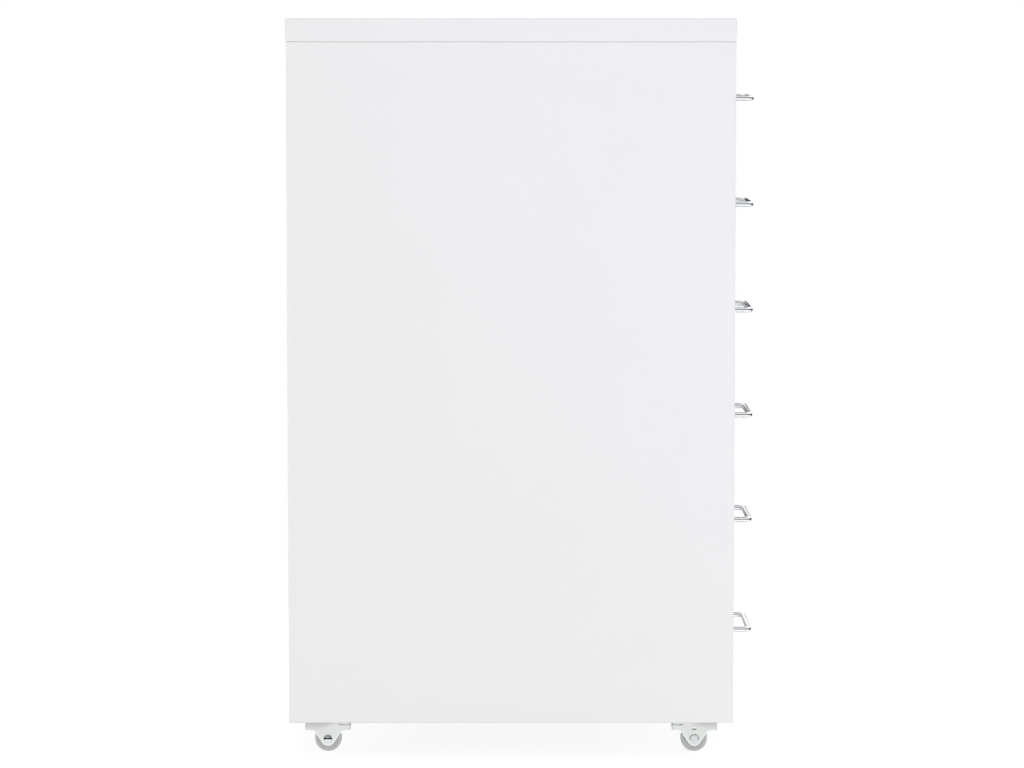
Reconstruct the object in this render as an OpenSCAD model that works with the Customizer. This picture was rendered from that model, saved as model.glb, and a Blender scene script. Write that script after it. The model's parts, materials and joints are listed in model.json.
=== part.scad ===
// Narrow sheet-steel drawer cabinet on four fixed casters.
// The front faces -Y, and the left side is -X. The origin is on the floor,
// below the middle of the whole outline, handles included. Drawer 1 is the top one.

/* [Body] */
// Width across the two side panels
body_w = 280; // [240:1:340]
// Depth of the side panels, front edge to back
body_d = 414; // [380:1:480]
// Thickness of the sheet of the body, the drawer fronts and the runners
sheet_t = 0.7; // [0.5:0.1:0.9]
// Outside radius of the body's folds
fold_r = 1.4; // [1:0.1:1.8]
// Width of the inward flanges of the side panels
flange_w = 15; // [14:1:20]
// Depth of the folded-back hem along the front edge of the side panels
hem_d = 12; // [6:1:12]
// Height of the plinth below the bottom drawer
plinth_h = 17.5; // [14:0.5:30]
// Depth of the fold on top of the plinth
plinth_return_d = 10; // [6:1:14]
// Height of the upturned sides and back of the base panel
base_lip_h = 12; // [8:1:13]
// Width of the fold along the top of the back panel
back_return_d = 12; // [10:1:20]
// Clearance between body pieces that are slid together
fit_gap = 0.2; // [0.1:0.1:0.4]

/* [Lid] */
// Height of the lid
lid_h = 21.3; // [14:0.1:40]
// How far the lid stands proud of the body, all round
lid_overhang = 0.6; // [0:0.1:2]
// Radius of the lid's upright corners
lid_corner_r = 2.5; // [1.5:0.5:6]
// Width of the lid's inward flange, which rests on the side panels
lid_return_w = 10; // [9:1:14]
// Distance of the lid screws from the side panel's outer face
lid_screw_edge = 5.5; // [5:0.5:6]
// Distance of the outer lid screws from the front and the back of the body
lid_screw_inset = 45; // [30:1:80]

/* [Drawers] */
// Number of drawers
drawer_count = 6; // [2:1:6]
// Height of a drawer front
front_h = 97; // [80:1:120]
// Height of the bottom drawer's front
bottom_front_h = 108; // [80:1:140]
// Gap between two drawer fronts
front_gap = 3; // [2:0.5:5]
// Gap between a drawer front and the side panel's hem
front_side_gap = 1.6; // [1:0.1:3]
// Gap between the top drawer's front and the lid
top_gap = 4.2; // [3.5:0.1:8]
// Depth of the hollow drawer front
front_d = 12; // [10:0.5:14]
// Outside radius of the drawer front's edges
front_edge_r = 1.5; // [1:0.1:3]
// Width of the fold round the back of the drawer front
front_lip_w = 8; // [6:0.5:10]
// Travel of a drawer from closed to its stops
drawer_travel = 300; // [200:5:310]

/* [Trays] */
// Thickness of the tray's sheet
tray_t = 0.6; // [0.5:0.1:0.8]
// Outside radius of the tray's folds and corners
tray_r = 1.5; // [1:0.1:3]
// Height of the tray's floor above the lower edge of the drawer front
tray_floor_gap = 5; // [3:0.5:5.5]
// Depth of the tray's rim below the upper edge of the drawer front
tray_rim_gap = 12; // [11:0.5:20]
// Depth of the tray's front wall below the upper edge of the drawer front
tray_wall_gap = 4; // [3:0.5:5.5]
// Space between a closed tray and the back panel
tray_rear_gap = 15.6; // [10:0.1:30]
// Height of the hem along the tray's rear rim
tray_hem_h = 8; // [6:0.5:12]
// Height of the stop tabs above the tray's side flanges
tab_h = 3.5; // [3:0.1:4]

/* [Runners] */
// Width of a runner channel
runner_w = 12; // [11:0.5:14]
// Height of a runner channel
runner_h = 9; // [8.5:0.1:10]
// Outside radius of the runner's folds
runner_r = 1.1; // [1:0.1:1.4]
// Clearance between the tray and the runner's edge
tray_side_gap = 1; // [0.6:0.1:1.5]
// Clearance between the tray's flange and the runner's web
web_gap = 1; // [0.6:0.1:1.5]
// Running clearance below the tray's flange
ride_gap = 0.25; // [0.2:0.05:0.4]
// Clearance between a closed drawer front and the runner ends
close_gap = 0.4; // [0.3:0.1:1]
// Clearance left between tab and stop at full travel
stop_gap = 0.4; // [0.3:0.1:1]
// Length by which a stop hangs below the runner's upper flange
stop_h = 4.4; // [4.1:0.1:4.6]
// Space between the runner's rear end and the back panel
runner_rear_gap = 5; // [2:0.5:12]

/* [Handles] */
// Distance between the legs of a handle, centre to centre
handle_spacing = 96; // [64:1:160]
// Diameter of the handle's rod
rod_d = 5; // [4.5:0.1:8]
// How far the handle stands out from the drawer front
handle_reach = 22.5; // [20:0.5:40]
// Radius of the handle's bends, on the rod's centre line
bend_r = 6; // [4:0.5:10]
// Thread diameter of the handle and lid screws
screw_d = 3; // [2.5:0.1:3.4]
// Length of the handle screws under the head
handle_screw_l = 20; // [17:1:22]
// Length of the lid screws under the head
lid_screw_l = 6; // [4:0.5:10]
// Diameter of the screw heads
screw_head_d = 5.6; // [5:0.1:6.4]
// Height of the screw heads
screw_head_h = 2.2; // [1.6:0.1:2.6]

/* [Casters] */
// Diameter of the wheels
wheel_d = 25; // [22:0.5:28]
// Width of the tyre
tyre_w = 11; // [8:0.5:12]
// Radius of the tyre's shoulders
shoulder_r = 1.8; // [0.5:0.1:2.5]
// Diameter of the hub under the tyre
hub_d = 15; // [13:0.5:17]
// Diameter of the hub's middle boss
boss_d = 10; // [8:0.5:11]
// Distance from the plate's upper face down to the axle
axle_drop = 20.2; // [19:0.1:26]
// Length of the caster's plate, along Y
plate_l = 42; // [42:0.5:60]
// Width of the caster's bracket
bracket_w = 20; // [18:0.5:26]
// Thickness of the bracket's steel
bracket_t = 1.5; // [1.2:0.1:2]
// Outside radius of the bracket's folds
bracket_r = 2.2; // [2.1:0.1:3]
// Depth of the bracket's straight sides below the plate's upper face
skirt_h = 12.6; // [10:0.1:13]
// Radius of the lower corners of those sides
skirt_r = 2.5; // [1:0.1:4]
// Width of the ears where they leave the straight sides
ear_w = 26; // [20:0.5:30]
// Radius of the ears round the axle
ear_r = 6.5; // [5.5:0.1:7.5]
// Distance of the casters from the front, the back and the sides of the body
caster_inset = 35; // [30:1:60]
// Distance between the two bolts of a caster
bolt_spacing = 33; // [32:0.5:34]
// Side clearance between hub and bracket
hub_gap = 0.3; // [0.2:0.1:0.6]
// Radial clearance of the axle
axle_gap = 0.05; // [0.05:0.01:0.1]

/* [Caster fasteners] */
// Diameter of the axle
axle_d = 4; // [3:0.1:5]
// Diameter of the axle's flat head
flat_head_d = 8.8; // [7:0.1:10]
// Height of the axle's flat head
flat_head_h = 1.2; // [0.8:0.1:2]
// Diameter of the axle's domed head
dome_head_d = 8.2; // [7:0.1:10]
// Height of the axle's domed head
dome_head_h = 2.4; // [1.5:0.1:3]
// Thread diameter of the caster bolts
bolt_d = 4; // [3:0.1:4]
// Length of the caster bolts under the head
bolt_l = 7; // [6.5:0.5:10]
// Diameter of the bolt heads
bolt_head_d = 7.4; // [6.5:0.1:8]
// Height of the bolt heads
bolt_head_h = 2.4; // [1.8:0.1:3]
// Width of the nuts across their corners
nut_w = 8; // [7:0.1:9]
// Height of the nuts
nut_h = 3.2; // [2.4:0.1:4]
// Clearance between a fastener and its hole, on the radius
hole_gap = 0.2; // [0.1:0.05:0.4]
// Clearance between a thread and its nut or tapped hole, on the radius
thread_gap = 0.05; // [0.05:0.01:0.1]

/* [Hidden] */
$fn = 48;
// How far a cutting shape runs past what it cuts
over = 5;

// Finishes
powder_white = "#ecebf0";
chrome = "#c9ccd1";
zinc = "#cfd4d6";
grey_rubber = "#9b9d9e";
grey_plastic = "#d5d6d6";
bright_steel = "#b9bcc0";

// Where the body's front plane lies, with the whole outline centred on the origin
front_y = (handle_reach - body_d - lid_overhang) / 2;

// Places along Y, measured from the body's front plane
panel_y0 = body_d - 2 * sheet_t;
tray_y0 = front_d;
tray_y1 = panel_y0 - tray_rear_gap;
rim_y0 = tray_y0 + tray_r;
rim_y1 = tray_y1 - tray_r;
runner_y0 = max(front_d + close_gap, hem_d + fit_gap);
runner_y1 = panel_y0 - runner_rear_gap;
tab_y0 = rim_y1 - tray_t;
stop_y1 = tab_y0 - drawer_travel - stop_gap;

// Heights above the floor
axle_z = wheel_d / 2;
plate_z = axle_z + axle_drop;
body_z0 = plate_z - sheet_t;
plinth_z1 = body_z0 + plinth_h;
body_z1 = plinth_z1 + front_gap + bottom_front_h
    + (drawer_count - 1) * (front_gap + front_h) + top_gap;

// Places along X, on the right side
side_x = body_w / 2;
skin_x = side_x - sheet_t;
web_x = skin_x - sheet_t;
front_x = side_x - 2 * sheet_t - front_side_gap;
tray_x = skin_x - runner_w - tray_side_gap;
rim_x = web_x - web_gap;
cheek_x = bracket_w / 2;

sides = ["left", "right"];
ends = ["front", "rear"];

// Height of the front of drawer i
function drawer_h(i) = i == drawer_count ? bottom_front_h : front_h;

// Moves what is drawn behind the plane y = 0 to the body's place over the origin
module on_floor() {
    translate([0, front_y, 0]) children();
}

// Moves what is drawn below z = 0 to the place of drawer i
module at_drawer(i) {
    on_floor() translate([0, 0, body_z1 - top_gap - (i - 1) * (front_h + front_gap)]) children();
}

// A box between two opposite corners
module box(p0, p1) {
    translate(p0) cube(p1 - p0);
}

// What is left outside a quarter circle in a square corner at the origin
module corner_waste(r) {
    difference() {
        translate([-over, -over]) square(r + over);
        translate([r, r]) circle(r);
    }
}

// A rectangle between two opposite corners, with round corners
module rounded_rect(p0, p1, r) {
    difference() {
        translate(p0) square(p1 - p0);
        if (r > 0) {
            translate(p0) corner_waste(r);
            translate([p1.x, p0.y]) rotate(90) corner_waste(r);
            translate(p1) rotate(180) corner_waste(r);
            translate([p0.x, p1.y]) rotate(270) corner_waste(r);
        }
    }
}

// Extrusions along each axis: a profile along x is drawn in YZ, and one along y in XZ
module along_x(x0, x1) {
    translate([x0, 0, 0]) rotate([90, 0, 90]) linear_extrude(x1 - x0) children();
}

module along_y(y0, y1) {
    translate([0, y1, 0]) rotate([90, 0, 0]) linear_extrude(y1 - y0) children();
}

module along_z(z0, z1) {
    translate([0, 0, z0]) linear_extrude(z1 - z0) children();
}

// A box whose edges along x, y and z are rounded by r.x, r.y and r.z
module rounded_block(p0, p1, r) {
    intersection() {
        along_x(p0.x, p1.x) rounded_rect([p0.y, p0.z], [p1.y, p1.z], r.x);
        along_y(p0.y, p1.y) rounded_rect([p0.x, p0.z], [p1.x, p1.z], r.y);
        along_z(p0.z, p1.z) rounded_rect([p0.x, p0.y], [p1.x, p1.y], r.z);
    }
}

// The space inside a folded box of sheet t
module folded_inside(p0, p1, r, t) {
    inner_r = [for (one = r) max(0, one - t)];
    rounded_block(p0 + [t, t, t], p1 - [t, t, t], inner_r);
}

// A box folded from sheet t, closed all round
module folded_box(p0, p1, r, t) {
    difference() {
        rounded_block(p0, p1, r);
        folded_inside(p0, p1, r, t);
    }
}

// An angle of sheet t with legs a and b from the origin, its fold rounded outside by r
module angle_profile(a, b, t, r) {
    difference() {
        square([a, b]);
        corner_waste(r);
        difference() {
            translate([t, t]) square([a, b]);
            translate([t, t]) corner_waste(r - t);
        }
    }
}

// A sheet t folded back flat on itself, with its nose at the origin
module hem_profile(depth, t) {
    translate([t, t]) circle(t);
    translate([t, 0]) square([depth - t, 2 * t]);
}

// Mirrors what is drawn for the left side when it goes on the right one
module on_side(s) {
    mirror([s == "right" ? 1 : 0, 0, 0]) children();
}

// A spherical cap on z = 0
module cap(d, h) {
    ball_r = (pow(d / 2, 2) + h * h) / (2 * h);
    intersection() {
        translate([0, 0, h - ball_r]) sphere(ball_r);
        cylinder(h = h + over, r = d);
    }
}

// A screw that points up, with a cross recess in a domed head below z = 0
module cross_screw(thread, length, head_d, head_h) {
    rim_h = head_h / 3;
    slot_w = head_d / 7;
    slot_l = head_d * 0.55;
    slot_h = head_h / 2;
    cylinder(h = length, d = thread - 2 * thread_gap);
    difference() {
        union() {
            translate([0, 0, -rim_h]) cylinder(h = rim_h, d = head_d);
            mirror([0, 0, 1]) translate([0, 0, rim_h]) cap(head_d, head_h - rim_h);
        }
        for (turn = [0, 90]) {
            rotate(turn) translate([-slot_l / 2, -slot_w / 2, -head_h - over])
                cube([slot_l, slot_w, slot_h + over]);
        }
    }
}

// ---- Body, with its front plane on y = 0 ----

// The lid screws of the left side
module at_lid_screws() {
    for (y = [lid_screw_inset, body_d / 2, body_d - lid_screw_inset]) {
        translate([lid_screw_edge - side_x, y, body_z1 - sheet_t]) children();
    }
}

// Left side panel: the skin, a hem in front and a flange along the other three edges
module side_panel() {
    p0 = [-side_x, -over, body_z0];
    p1 = [2 * flange_w - side_x, body_d, body_z1];
    folds = [0, fold_r, fold_r];
    color(powder_white) difference() {
        intersection() {
            rounded_block(p0, p1, folds);
            union() {
                difference() {
                    box([p0.x, sheet_t, p0.z], [p0.x + flange_w, p1.y, p1.z]);
                    folded_inside(p0, p1, folds, sheet_t);
                }
                along_z(p0.z, p1.z) translate([-web_x, 0]) rotate(90)
                    hem_profile(hem_d, sheet_t);
            }
        }
        at_lid_screws() translate([0, 0, -over])
            cylinder(h = 2 * over, r = screw_d / 2 + hole_gap);
    }
}

// Back panel: it lies against the rear flanges of the side panels, with a fold under the lid
module back_panel() {
    panel_x = side_x - fold_r - fit_gap;
    fold_x = side_x - flange_w - fit_gap;
    color(powder_white) union() {
        box([-panel_x, panel_y0, plate_z],
            [panel_x, panel_y0 + sheet_t, body_z1 - sheet_t - fit_gap]);
        along_x(-fold_x, fold_x) translate([panel_y0 + sheet_t, body_z1]) rotate(180)
            angle_profile(back_return_d, back_return_d, sheet_t, fold_r);
    }
}

// Base panel: a tray on the bottom flanges of the side panels, its front turned up as the plinth
module base_panel() {
    base_x = web_x - fit_gap;
    p0 = [-base_x, 0, plate_z];
    p1 = [base_x, panel_y0, plinth_z1];
    color(powder_white) difference() {
        folded_box(p0, p1, [fold_r, fold_r, 0], sheet_t);
        box([-side_x, plinth_return_d, plate_z + base_lip_h], [side_x, body_d, plinth_z1 + over]);
        for (e = ends, s = sides) at_caster(e, s) bolt_holes();
    }
}

// Lid: a shallow box whose inward flange rests on the side panels
module lid() {
    p0 = [-side_x - lid_overhang, -lid_overhang, body_z1];
    p1 = [side_x + lid_overhang, body_d + lid_overhang, body_z1 + lid_h];
    color(powder_white) difference() {
        folded_box(p0, p1, [fold_r, fold_r, lid_corner_r], sheet_t);
        box([p0.x + lid_return_w, p0.y + lid_return_w, p0.z - over],
            [p1.x - lid_return_w, p1.y - lid_return_w, p0.z + fold_r]);
        for (s = sides) on_side(s) at_lid_screws() cylinder(h = over, d = screw_d);
    }
}

module lid_screws() {
    color(bright_steel) for (s = sides) on_side(s) at_lid_screws()
        cross_screw(screw_d, lid_screw_l, screw_head_d, screw_head_h);
}

// ---- Drawers, each with the upper edge of its front on z = 0, and h the front's height ----

// Left runner: a channel against the side panel, with a stop under its upper flange
module runner() {
    z0 = -tray_t - ride_gap - sheet_t;
    z1 = z0 + runner_h;
    edge_x = runner_w - skin_x;
    color(powder_white) translate([0, 0, -tray_rim_gap]) union() {
        along_y(runner_y0, runner_y1) difference() {
            rounded_rect([-skin_x, z0], [edge_x + over, z1], runner_r);
            rounded_rect([-web_x, z0 + sheet_t], [edge_x + 2 * over, z1 - sheet_t],
                runner_r - sheet_t);
            translate([edge_x, z0 - over]) square([2 * over, runner_h + 2 * over]);
        }
        box([web_gap - web_x, stop_y1 - sheet_t, z1 - sheet_t - stop_h],
            [edge_x - tray_side_gap, stop_y1, z1 - sheet_t / 2]);
    }
}

// The two legs of a handle, at the middle of the front
module at_legs(h) {
    for (s = sides) {
        on_side(s) translate([-handle_spacing / 2, 0, -h / 2]) children();
    }
}

// Holes for the two handle screws, along Y
module screw_holes(h) {
    at_legs(h) along_y(-over, tray_y0 + over) circle(screw_d / 2 + hole_gap);
}

// Hollow front, open behind inside its fold
module drawer_front(h) {
    p0 = [-front_x, 0, -h];
    p1 = [front_x, front_d, 0];
    color(powder_white) difference() {
        folded_box(p0, p1, [front_edge_r, front_edge_r, front_edge_r], sheet_t);
        box([p0.x + front_lip_w, p1.y - front_edge_r, p0.z + front_lip_w],
            [p1.x - front_lip_w, p1.y + over, p1.z - front_lip_w]);
        screw_holes(h);
    }
}

// Tray: its side flanges ride in the runners, and its front wall closes the hollow front
module drawer_tray(h) {
    // The walls' corners are open above this height, so that the rims can fold outwards
    notch_z = -tray_rim_gap - 2 * tray_r;
    p0 = [-tray_x, tray_y0, tray_floor_gap - h];
    p1 = [tray_x, tray_y1, 0];
    color(powder_white) difference() {
        union() {
            difference() {
                folded_box(p0, p1, [tray_r, tray_r, tray_r], tray_t);
                box([-side_x, 0, notch_z], [side_x, body_d, over]);
            }
            box([tray_r - tray_x, tray_y0, -tray_rim_gap - tray_hem_h],
                [tray_x - tray_r, tray_y0 + tray_t, -tray_wall_gap]);
            for (s = sides) on_side(s) tray_side_rim();
            along_x(tray_r - tray_x, tray_x - tray_r)
                translate([tray_y1 - tray_t, -tray_rim_gap]) rotate(270)
                hem_profile(tray_hem_h, tray_t);
        }
        screw_holes(h);
    }
}

// Left rim of a tray: the flange that rides in the runner, and its stop tab
module tray_side_rim() {
    flange_l = rim_x - tray_x + tray_t;
    along_y(rim_y0, rim_y1) translate([tray_t - tray_x, -tray_rim_gap]) rotate(180)
        angle_profile(flange_l, tray_hem_h, tray_t, tray_r);
    box([-rim_x, tab_y0, -tray_rim_gap - tray_t],
        [-tray_x - tray_side_gap, rim_y1, tab_h - tray_rim_gap]);
}

// Bow handle, bent from one rod
module drawer_handle(h) {
    bar_y = rod_d / 2 - handle_reach;
    bend_y = bar_y + bend_r;
    bend_x = handle_spacing / 2 - bend_r;
    bore_l = handle_screw_l - front_d - tray_t + hole_gap;
    color(chrome) difference() {
        translate([0, 0, -h / 2]) {
            for (s = sides) on_side(s) {
                translate([-handle_spacing / 2, 0, 0]) along_y(bend_y, 0) circle(d = rod_d);
                translate([-bend_x, bend_y, 0]) rotate(180) rotate_extrude(angle = 90)
                    translate([bend_r, 0]) circle(d = rod_d);
            }
            along_x(-bend_x, bend_x) translate([bar_y, 0]) circle(d = rod_d);
        }
        at_legs(h) along_y(-bore_l, over) circle(d = screw_d);
    }
}

// The two screws of a handle, with their heads inside the tray
module drawer_screws(h) {
    color(bright_steel) at_legs(h) translate([0, tray_y0 + tray_t, 0]) rotate([90, 0, 0])
        cross_screw(screw_d, handle_screw_l, screw_head_d, screw_head_h);
}

// ---- Casters, each drawn over the origin with its nib on the -X cheek ----

// The nib faces outwards on the front casters, and inwards on the rear ones
module at_caster(end, side) {
    x = side_x - caster_inset;
    y = end == "front" ? caster_inset : body_d - caster_inset;
    turned = (end == "front") != (side == "left");
    translate([side == "left" ? -x : x, y, 0]) rotate(turned ? 180 : 0) children();
}

module at_bolts() {
    for (way = [-1, 1]) {
        translate([0, way * bolt_spacing / 2, 0]) children();
    }
}

module bolt_holes() {
    at_bolts() translate([0, 0, plate_z - over])
        cylinder(h = 2 * over, r = bolt_d / 2 + hole_gap);
}

// Side view of the bracket: straight sides, and an ear that narrows to a round end
module bracket_outline() {
    skirt_z = plate_z - skirt_h;
    // Where the ear's edge leaves the straight side, seen from the axle
    start = [ear_w / 2, skirt_z - axle_z];
    // The edge ends just inside the round end, and so crosses its circle in one point
    end_r = 0.99 * ear_r;
    end_turn = atan2(start.y, start.x) - acos(end_r / norm(start));
    end_y = end_r * cos(end_turn);
    end_z = end_r * sin(end_turn);
    rounded_rect([-plate_l / 2, skirt_z], [plate_l / 2, plate_z + over], skirt_r);
    translate([0, axle_z]) {
        circle(ear_r);
        polygon([
            [-start.x, start.y + skirt_r],
            [-start.x, start.y],
            [-end_y, end_z],
            [end_y, end_z],
            [start.x, start.y],
            [start.x, start.y + skirt_r]
        ]);
    }
}

module caster_bracket() {
    nib_l = ear_r / 2;
    nib_out = bracket_t / 2;
    nib_z = plate_z - skirt_h + bracket_t / 2;
    color(zinc) difference() {
        union() {
            intersection() {
                along_y(-plate_l / 2, plate_l / 2) difference() {
                    rounded_rect([-cheek_x, -over], [cheek_x, plate_z], bracket_r);
                    rounded_rect([bracket_t - cheek_x, -2 * over],
                        [cheek_x - bracket_t, plate_z - bracket_t], bracket_r - bracket_t);
                }
                along_x(-cheek_x, cheek_x) bracket_outline();
            }
            box([-cheek_x - nib_out, -nib_l / 2, nib_z],
                [nib_out - cheek_x, nib_l / 2, nib_z + bracket_t]);
        }
        along_x(-bracket_w, bracket_w) translate([0, axle_z]) circle(axle_d / 2 + axle_gap);
        bolt_holes();
    }
}

// Turns a profile of radius and width about the axle
module on_axle() {
    translate([0, 0, axle_z]) rotate([0, 90, 0]) rotate_extrude() children();
}

module caster_tyre() {
    color(grey_rubber) on_axle() intersection() {
        rounded_rect([0, -tyre_w / 2], [wheel_d / 2, tyre_w / 2], shoulder_r);
        translate([hub_d / 2, -tyre_w]) square([wheel_d, 2 * tyre_w]);
    }
}

module caster_hub() {
    bore_r = axle_d / 2 + axle_gap;
    boss_w = bracket_w - 2 * (bracket_t + hub_gap);
    color(grey_plastic) on_axle() {
        translate([bore_r, -boss_w / 2]) square([boss_d / 2 - bore_r, boss_w]);
        translate([bore_r, -tyre_w / 2]) square([hub_d / 2 - bore_r, tyre_w]);
    }
}

// Axle, headed over at both ends
module axle_rivet() {
    translate([-cheek_x, 0, axle_z]) rotate([0, 90, 0]) {
        cylinder(h = bracket_w, d = axle_d);
        translate([0, 0, -flat_head_h]) cylinder(h = flat_head_h, d = flat_head_d);
        translate([0, 0, bracket_w]) cap(dome_head_d, dome_head_h);
    }
}

module axle_rivets() {
    color(chrome) for (e = ends, s = sides) at_caster(e, s) axle_rivet();
}

module caster_bolts() {
    color(bright_steel) for (e = ends, s = sides) at_caster(e, s) at_bolts()
        translate([0, 0, plate_z - bracket_t]) cross_screw(bolt_d, bolt_l, bolt_head_d, bolt_head_h);
}

module caster_nuts() {
    color(bright_steel) for (e = ends, s = sides) at_caster(e, s) at_bolts()
        translate([0, 0, plate_z + sheet_t]) difference() {
            cylinder(h = nut_h, d = nut_w, $fn = 6);
            translate([0, 0, -over]) cylinder(h = nut_h + 2 * over, d = bolt_d);
        }
}

// ---- The assembly ----

on_floor() side_panel();  // side_panel_left
on_floor() on_side("right") side_panel();  // side_panel_right
on_floor() back_panel();
on_floor() base_panel();
on_floor() lid();
on_floor() lid_screws();

for (i = [1:drawer_count]) {
    for (s = sides) {
        at_drawer(i) on_side(s) runner();
    }
    at_drawer(i) drawer_front(drawer_h(i));
    at_drawer(i) drawer_tray(drawer_h(i));
    at_drawer(i) drawer_handle(drawer_h(i));
    at_drawer(i) drawer_screws(drawer_h(i));
}

for (e = ends, s = sides) {
    c = str(e, "_", s);
    on_floor() at_caster(e, s) caster_bracket();
    on_floor() at_caster(e, s) caster_hub();
    on_floor() at_caster(e, s) caster_tyre();
}
on_floor() axle_rivets();
on_floor() caster_bolts();
on_floor() caster_nuts();
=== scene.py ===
import json
import math

import bmesh
import bpy
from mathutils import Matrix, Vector


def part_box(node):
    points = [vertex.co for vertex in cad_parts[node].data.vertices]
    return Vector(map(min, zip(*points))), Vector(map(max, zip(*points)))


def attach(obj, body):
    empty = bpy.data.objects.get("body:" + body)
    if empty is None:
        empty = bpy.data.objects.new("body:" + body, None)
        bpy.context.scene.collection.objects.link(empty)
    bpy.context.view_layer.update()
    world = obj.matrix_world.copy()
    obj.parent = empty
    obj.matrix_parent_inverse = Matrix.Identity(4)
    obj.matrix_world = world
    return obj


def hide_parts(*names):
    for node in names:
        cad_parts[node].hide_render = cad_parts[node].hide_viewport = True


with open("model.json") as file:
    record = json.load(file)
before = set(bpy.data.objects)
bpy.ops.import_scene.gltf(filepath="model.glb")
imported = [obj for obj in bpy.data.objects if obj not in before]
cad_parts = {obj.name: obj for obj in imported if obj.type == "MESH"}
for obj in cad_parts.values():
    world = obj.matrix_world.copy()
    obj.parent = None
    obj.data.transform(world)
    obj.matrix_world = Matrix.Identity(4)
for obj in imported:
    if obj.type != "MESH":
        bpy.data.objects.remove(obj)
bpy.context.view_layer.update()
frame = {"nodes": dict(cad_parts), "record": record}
print("frame loaded:", len(frame["nodes"]), "nodes")

drawers = [f"drawer_{i}" for i in range(1, 7)]
corners = ["front_left", "front_right", "rear_left", "rear_right"]


def mm(*values):  # millimetres to metres
    return values[0] / 1000 if len(values) == 1 else tuple(v / 1000 for v in values)


def linearColour(code):  # "#rrggbb" as seen on a screen, turned into linear values
    parts = [int(code[i:i + 2], 16) / 255 for i in (1, 3, 5)]
    return [v / 12.92 if v <= 0.04045 else ((v + 0.055) / 1.055) ** 2.4 for v in parts] + [1]


def addNode(tree, kind, sockets=None, **settings):  # a socket takes a link or a plain value
    node = tree.nodes.new(kind)
    for name, value in settings.items():
        setattr(node, name, value)
    for key, value in (sockets or {}).items():
        if isinstance(value, bpy.types.NodeSocket):
            tree.links.new(value, node.inputs[key])
        else:
            node.inputs[key].default_value = value
    return node


def calculate(tree, operation, first, second):
    return addNode(tree, "ShaderNodeMath", {0: first, 1: second}, operation=operation).outputs[0]


def newObject(name, content):
    made = bpy.data.objects.new(name, content)
    bpy.context.scene.collection.objects.link(made)
    return made


def newMesh(name, points, edges=(), faces=()):
    mesh = bpy.data.meshes.new(name)
    mesh.from_pydata(list(points), list(edges), list(faces))
    mesh.update()
    return mesh


def closeMesh(mesh, smoothAngle=35):  # merges doubles, turns the faces outwards and rounds the shading
    shape = bmesh.new()
    shape.from_mesh(mesh)
    bmesh.ops.remove_doubles(shape, verts=shape.verts, dist=1e-7)
    bmesh.ops.recalc_face_normals(shape, faces=shape.faces)
    shape.to_mesh(mesh)
    shape.free()
    mesh.shade_smooth()
    mesh.set_sharp_from_angle(angle=math.radians(smoothAngle))
    return mesh


def stripFaces(sides, rows, closed):  # quads round a body whose every side is a column of rows points
    faces = []
    for k in range(sides):
        here, there = k * rows, (k + 1) % sides * rows
        for j in range(rows if closed else rows - 1):
            after = (j + 1) % rows
            faces.append((here + j, here + after, there + after, there + j))
    return faces


def turnedMesh(name, profile, sides, ring=False):  # turns (radius, height) pairs about Z
    points = []
    for k in range(sides):
        turn = math.tau * k / sides
        points += [(r * math.cos(turn), r * math.sin(turn), z) for r, z in profile]
    return closeMesh(newMesh(name, points, faces=stripFaces(sides, len(profile), ring)))


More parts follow.
